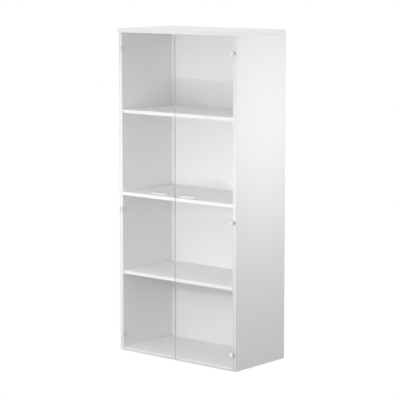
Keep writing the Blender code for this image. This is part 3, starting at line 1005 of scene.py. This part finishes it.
@dataclass
class Handle:
    """One bow handle with its screws and the clear rings between it and the glass."""

    side: Side
    bright: bpy.types.Material
    zinc: bpy.types.Material
    plastic: bpy.types.Material
    path_steps: int = 120
    section_steps: int = 40
    squareness: float = 0.6
    swell: float = 1.3
    foot_radius: float = 0.0047
    thin_radius: float = 0.0029
    sleeve_wall: float = 0.0003
    screw: Screw = Screw(shank_radius=0.0020, cross_reach=0.0021)

    def build(self) -> Iterator[bpy.types.Object]:
        """Make and place the bow, its screws and its rings."""
        yield self.build_bow()
        yield self.build_screws()
        yield self.build_rings()

    def screw_xs(self) -> list[float]:
        """Return the x places of the two screws."""
        label = self.side.label
        return [NodeBox.of(f"handle_screw_{label}_{place}").centre[0] for place in ("outer", "inner")]

    def build_bow(self) -> bpy.types.Object:
        """Sweep the bow.

        The centre line is a half superellipse from one screw to the other. Its section is an ellipse
        that is round at the feet, and grows tall and thin towards the middle of the bow.
        """
        node = f"handle_{self.side.label}"
        box = NodeBox.of(node)
        xs = self.screw_xs()
        centre_x, half = sum(xs) / 2, abs(xs[0] - xs[1]) / 2
        share = np.linspace(0.0, 1.0, self.path_steps)
        turn = math.pi * share
        power, foot = self.squareness, self.foot_radius
        thin, tall = self.thin_radius, box.size[2] / 2
        middle = np.sin(turn) ** self.swell
        depth_radius = foot + (thin - foot) * middle
        height_radius = foot + (tall - foot) * middle
        reach = box.size[1] - thin
        x = centre_x + half * np.sign(np.cos(turn)) * np.abs(np.cos(turn)) ** power
        y = box.high[1] - reach * np.clip(np.sin(turn), 0, 1) ** power
        path = np.stack((x, y, np.full_like(x, box.centre[2])), axis=-1)
        tangent = np.gradient(path, axis=0)
        tangent[0] = (0.0, -1.0, 0.0)
        tangent[-1] = (0.0, 1.0, 0.0)
        tangent /= np.linalg.norm(tangent, axis=1)[:, None]
        upright = np.array((0.0, 0.0, 1.0))
        outward = np.cross(tangent, upright)
        angles = turn_angles(self.section_steps)
        rings = (
            path[:, None, :]
            + (depth_radius[:, None] * np.cos(angles))[..., None] * outward[:, None, :]
            + (height_radius[:, None] * np.sin(angles))[..., None] * upright
        )
        piece = make_piece(f"handle_bow_{self.side.label}", [Surface.capped(rings)], self.bright, crease=60)
        return settle(piece, self.side.body, "bright_metal", node)

    def build_screws(self) -> bpy.types.Object:
        """Turn the two screws that come through the glass from behind."""
        label = self.side.label
        nodes = [f"handle_screw_{label}_{place}" for place in ("outer", "inner")]
        surfaces = []
        for node in nodes:
            box = NodeBox.of(node)
            seat = np.array((box.centre[0], box.high[1] - self.screw.head_height, box.centre[2]))
            length = box.size[1] - self.screw.head_height
            surfaces.append(self.screw.surface(Axis.facing(seat, (0, 1, 0)), length))
        piece = make_piece(f"handle_screws_turned_{label}", surfaces, self.zinc, crease=30)
        return settle(piece, self.side.body, "zinc", *nodes)

    def build_rings(self) -> bpy.types.Object:
        """Turn the thin sleeves that line the two handle holes in the glass."""
        glass = NodeBox.of(f"glass_door_{self.side.label}")
        z = NodeBox.of(f"handle_{self.side.label}").centre[2]
        inner = self.screw.shank_radius + CLEARANCE
        length = glass.size[1] - 2 * CLEARANCE
        surfaces = []
        for x in self.screw_xs():
            axis = Axis.facing(np.array((x, glass.low[1] + CLEARANCE, z)), (0, 1, 0))
            surfaces.append(washer(axis, inner + self.sleeve_wall, inner, length, CLEARANCE))
        piece = make_piece(f"handle_sleeves_{self.side.label}", surfaces, self.plastic)
        return settle(piece, self.side.body, "clear_plastic")


@dataclass
class Door:
    """One glass door: the sheet, three hinges, a bow handle and the bumper that it rests by."""

    side: Side
    glass: bpy.types.Material
    hinges: list[Hinge]
    handle: Handle
    plastic: bpy.types.Material

    def build(self) -> Iterator[bpy.types.Object]:
        """Make and place every piece of the door."""
        for hinge in self.hinges:
            yield from hinge.build()
        yield from self.handle.build()
        yield self.build_bumper()

    def dress(self, nodes: dict[str, bpy.types.Object]) -> None:
        """Give the sheet and the hinge leaves their finishes."""
        dress_node(nodes[f"glass_door_{self.side.label}"], self.glass)
        for hinge in self.hinges:
            hinge.dress(nodes)

    def build_bumper(self) -> bpy.types.Object:
        """Turn the clear bumper: a short rod whose end is a dome, flatter than a half ball."""
        node = f"door_bumper_{self.side.label}"
        box = NodeBox.of(node)
        radius, height = box.size[0] / 2, box.size[1]
        dome = arc((0.0, 0.0), 1.0, 88, 0, 16) * (radius, height * 0.55) + (0.0, height * 0.45)
        profile = np.concatenate((dome, [(radius, 0.0)]))
        axis = Axis.facing(np.array((box.centre[0], box.high[1], box.centre[2])), (0, -1, 0))
        piece = make_piece(f"door_bumper_turned_{self.side.label}", [lathe(axis, profile, 32)], self.plastic)
        return settle(piece, "carcass", "clear_plastic", node)


@dataclass
class Carcass:
    """The boards, the shelf pins and the covers over the board fittings."""

    effects: Effects
    zinc: bpy.types.Material
    cover: bpy.types.Material
    back: bpy.types.Material
    cover_radius: float = 0.0085
    cover_height: float = 0.0010
    cover_setback: float = 0.060
    cover_drop: float = 0.034

    boards: tuple[str, ...] = (
        "side_panel_left",
        "side_panel_right",
        "top_panel",
        "bottom_panel",
        "shelf_lower",
        "shelf_middle",
        "shelf_upper",
    )

    def dress(self, nodes: dict[str, bpy.types.Object]) -> None:
        """Give each board its finish, with its own front edging."""
        for name in self.boards:
            front = float(NodeBox.of(name).low[1])
            dress_node(nodes[name], BoardFinish(f"white_board_{name}", self.effects, front=front).make())
            log.info("%s: white board, front at %.4f", name, front)
        dress_node(nodes["back_panel"], self.back)

    def build(self) -> Iterator[bpy.types.Object]:
        """Make and place the shelf pins and the covers."""
        for shelf in ("shelf_lower", "shelf_middle", "shelf_upper"):
            for side in Side:
                for place in ("front", "rear"):
                    yield self.build_shelf_pin(f"{shelf}_pin_{side.label}_{place}", side)
        for side in Side:
            yield self.build_covers(side)

    def build_shelf_pin(self, node: str, side: Side) -> bpy.types.Object:
        """Turn a shelf pin: a rod with a rounded end and a thin groove near the board."""
        box = NodeBox.of(node)
        radius, length = box.size[2] / 2, box.size[0]
        bead = radius * 0.5
        tip = arc((radius - bead, length - bead), bead, 88, 0, 8)
        stem = np.linspace(length - bead, 0.0, 40)[1:]
        groove = np.exp(-(((stem - length * 0.62) / 0.0005) ** 2)) * 0.0003
        profile = np.concatenate((tip, np.stack((radius - groove, stem), axis=-1)))
        wall_x = box.high[0] if side is Side.RIGHT else box.low[0]
        axis = Axis.facing(np.array((wall_x, box.centre[1], box.centre[2])), (-side.sign, 0, 0))
        piece = make_piece(f"{node}_turned", [lathe(axis, profile, 32)], self.zinc)
        return settle(piece, "carcass", "zinc", node)

    def build_covers(self, side: Side) -> bpy.types.Object:
        """Turn the four low covers of one side: two under the top board, two on the bottom board."""
        panel = NodeBox.of(f"side_panel_{side.label}")
        bottom = NodeBox.of("bottom_panel")
        inner_x = panel.low[0] if side is Side.RIGHT else panel.high[0]
        edge = self.cover_height * 0.6
        r, h = self.cover_radius, self.cover_height
        flat = [(r * share, h) for share in (0.05, 0.5, 0.8)]
        profile = np.concatenate((flat, arc((r - edge, h - edge), edge, 90, 0, 6), [(r, 0.0)]))
        surfaces = []
        for y in (panel.low[1] + self.cover_setback, panel.high[1] - self.cover_setback):
            high = np.array((inner_x - side.sign * CLEARANCE, y, panel.high[2] - self.cover_drop))
            surfaces.append(lathe(Axis.facing(high, (-side.sign, 0, 0)), profile, 48))
            low = np.array((inner_x - side.sign * self.cover_drop, y, bottom.high[2] + CLEARANCE))
            surfaces.append(lathe(Axis.facing(low, (0, 0, 1)), profile, 48))
        piece = make_piece(f"fitting_covers_{side.label}", surfaces, self.cover)
        return settle(piece, "carcass", "white_board")


# ---------------------------------------------------------------- studio


@dataclass(frozen=True)
class Lamp:
    """One soft studio light that looks at a point."""

    name: str
    place: tuple[float, float, float]
    aim: tuple[float, float, float]
    width: float
    height: float
    power: float

    def make(self) -> bpy.types.Object:
        """Build the light and return it."""
        data = bpy.data.lights.new(self.name, "AREA")
        data.shape = "RECTANGLE"
        data.size = self.width
        data.size_y = self.height
        data.energy = self.power
        lamp = bpy.data.objects.new(self.name, data)
        lamp.location = self.place
        lamp.rotation_euler = (Vector(self.aim) - Vector(self.place)).to_track_quat("-Z", "Y").to_euler()
        lamp.visible_camera = False
        lamp.visible_glossy = False
        bpy.context.scene.collection.objects.link(lamp)
        return lamp


@dataclass(frozen=True)
class Studio:
    """The pale floor, the surrounding white, the lights and the camera."""

    azimuth: float = 40.318
    elevation: float = 8.027
    distance: float = 8.935
    lens: float = 151.64
    aim_height: float = 0.836
    surround: float = 0.815
    floor_half: float = 20.0
    floor_tone: float = 0.22
    floor_drop: float = 0.0002
    aim_from_back: float = 0.2185
    lamps: tuple[Lamp, ...] = (
        Lamp("key_front", (-0.17, -1.42, 0.85), (-0.1, 0.2, 0.87), 0.03, 0.03, 3.3),
        Lamp("key_broad", (-0.17, -2.0, 1.0), (-0.1, 0.2, 1.0), 0.9, 0.9, 12.4),
        Lamp("fill_left", (-2.2, -3.0, 1.2), (0.0, 0.0, 0.9), 2.0, 2.0, 6.3),
        Lamp("side_low", (1.25, 0.1, 1.25), (0.4, 0.05, 1.25), 0.5, 0.8, 3.2),
        Lamp("side_high", (1.6, 0.0, 1.5), (0.4, 0.0, 1.3), 0.6, 0.6, 2.5),
        Lamp("overhead", (0.2, -0.2, 3.4), (0.0, 0.0, 1.7), 1.6, 1.6, 3.2),
    )

    def make(self) -> None:
        """Build the whole studio."""
        self.make_camera()
        self.make_floor()
        self.make_surround()
        for lamp in self.lamps:
            lamp.make()
        bpy.context.scene.view_settings.view_transform = "Standard"

    def make_camera(self) -> None:
        """Stand the camera off the bookcase at a long lens."""
        low, high = (np.array(corner, dtype=float) for corner in CAD_BOX)
        aim = Vector(((low[0] + high[0]) / 2, high[1] - self.aim_from_back, self.aim_height))
        turn, tilt = math.radians(self.azimuth), math.radians(self.elevation)
        away = Vector((math.sin(turn) * math.cos(tilt), -math.cos(turn) * math.cos(tilt), math.sin(tilt)))
        data = bpy.data.cameras.new("camera")
        data.lens = self.lens
        data.clip_end = 60.0
        camera = bpy.data.objects.new("camera", data)
        camera.location = aim + away * self.distance
        camera.rotation_euler = (-away).to_track_quat("-Z", "Y").to_euler()
        bpy.context.scene.collection.objects.link(camera)
        bpy.context.scene.camera = camera

    def make_floor(self) -> None:
        """Lay a pale floor that reads as plain white paper."""
        half = self.floor_half
        mesh = bpy.data.meshes.new("floor")
        corners = [(-half, -half, 0.0), (half, -half, 0.0), (half, half, 0.0), (-half, half, 0.0)]
        mesh.from_pydata(corners, [], [(0, 1, 2, 3)])
        floor = bpy.data.objects.new("floor", mesh)
        floor.location.z = CAD_BOX[0][2] - self.floor_drop
        bpy.context.scene.collection.objects.link(floor)
        material = bpy.data.materials.new("pale_paper")
        material.use_nodes = True
        sheet = NodeSheet(material.node_tree)
        shader = material.node_tree.nodes["Principled BSDF"]
        shader.inputs["Base Color"].default_value = grey(self.floor_tone)
        shader.inputs["Roughness"].default_value = 0.9
        shader.inputs["Specular IOR Level"].default_value = 0.0
        glow = sheet.add("ShaderNodeEmission", Color=grey(1.0), Strength=1.0)
        mix = sheet.add("ShaderNodeMixShader")
        sheet.feed(mix.inputs[0], self.plain_sight(sheet))
        sheet.feed(mix.inputs[1], shader.outputs[0])
        sheet.feed(mix.inputs[2], glow.outputs[0])
        sheet.feed(material.node_tree.nodes["Material Output"].inputs["Surface"], mix.outputs[0])
        mesh.materials.append(material)
        floor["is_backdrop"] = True

    @staticmethod
    def plain_sight(sheet: NodeSheet) -> bpy.types.NodeSocket:
        """Return 1 for rays that see a thing directly, mirrored or through glass, and 0 otherwise.

        Rays that gather light for the boards, and rays aimed at lights, get 0, so both find the same
        brightness.

        Args:
            sheet: the sheet of the floor's or the surround's own nodes.

        Returns:
            The socket of the result.
        """
        path = sheet.add("ShaderNodeLightPath").outputs
        mirrored = sheet.math("MAXIMUM", path["Is Glossy Ray"], path["Is Transmission Ray"])
        return sheet.math("MAXIMUM", path["Is Camera Ray"], mirrored)

    def make_surround(self) -> None:
        """Surround the room with white that is full to the camera and softer to the boards."""
        world = bpy.data.worlds.new("studio_white")
        world.use_nodes = True
        sheet = NodeSheet(world.node_tree)
        background = world.node_tree.nodes["Background"]
        background.inputs["Color"].default_value = grey(1.0)
        brighter = sheet.math("MULTIPLY", self.plain_sight(sheet), 1.0 - self.surround)
        sheet.feed(background.inputs["Strength"], sheet.math("ADD", brighter, self.surround))
        bpy.context.scene.world = world


# ---------------------------------------------------------------- the bookcase


@dataclass
class Bookcase:
    """The whole bookcase: its carcass and its two doors."""

    nodes: dict[str, bpy.types.Object]
    effects: Effects = field(default_factory=Effects)

    def assemble(self) -> list[bpy.types.Object]:
        """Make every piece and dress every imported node.

        Returns:
            The new pieces.
        """
        bright = MetalFinish("bright_plate", self.effects).make()
        satin = MetalFinish("satin_plate", self.effects, (0.62, 0.62, 0.63), 0.26, 0.10, True).make()
        zinc = MetalFinish("zinc_plate", self.effects, (0.58, 0.59, 0.60), 0.32, 0.10).make()
        plastic = ClearPlasticFinish("clear_plastic", self.effects).make()
        coated = CoatedFinish("white_coat", self.effects).make()
        handle_z = float(NodeBox.of("handle_left").centre[2])
        glass = GlassFinish("clear_glass", self.effects, handle_height=handle_z).make()
        carcass = Carcass(
            self.effects,
            zinc,
            CoverFinish("white_cover", self.effects).make(),
            BackFinish("back_board", self.effects).make(),
        )
        carcass.dress(self.nodes)
        pieces = list(carcass.build())
        side_front = float(NodeBox.of("side_panel_left").low[1])
        for side in Side:
            hinges = [
                Hinge(side, level, bright, satin, zinc, plastic, coated, side_front=side_front)
                for level in Level
            ]
            door = Door(side, glass, hinges, Handle(side, bright, zinc, plastic), plastic)
            door.dress(self.nodes)
            pieces += list(door.build())
        return pieces


def write_sizes() -> None:
    boxes = {"old": CAD_BOX, "new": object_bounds()}
    plain = {name: [[float(value) for value in corner] for corner in box] for name, box in boxes.items()}


def main() -> None:
    """Build the studio and the bookcase, and report each piece."""
    logging.basicConfig(level=logging.INFO, format="%(name)s %(message)s", stream=sys.stdout)
    Studio().make()
    pieces = Bookcase(frame["nodes"]).assemble()
    log.info("%d new pieces on %d packed nodes", len(pieces), len(frame["nodes"]))
    write_sizes()


if __name__ == "__main__":
    main()
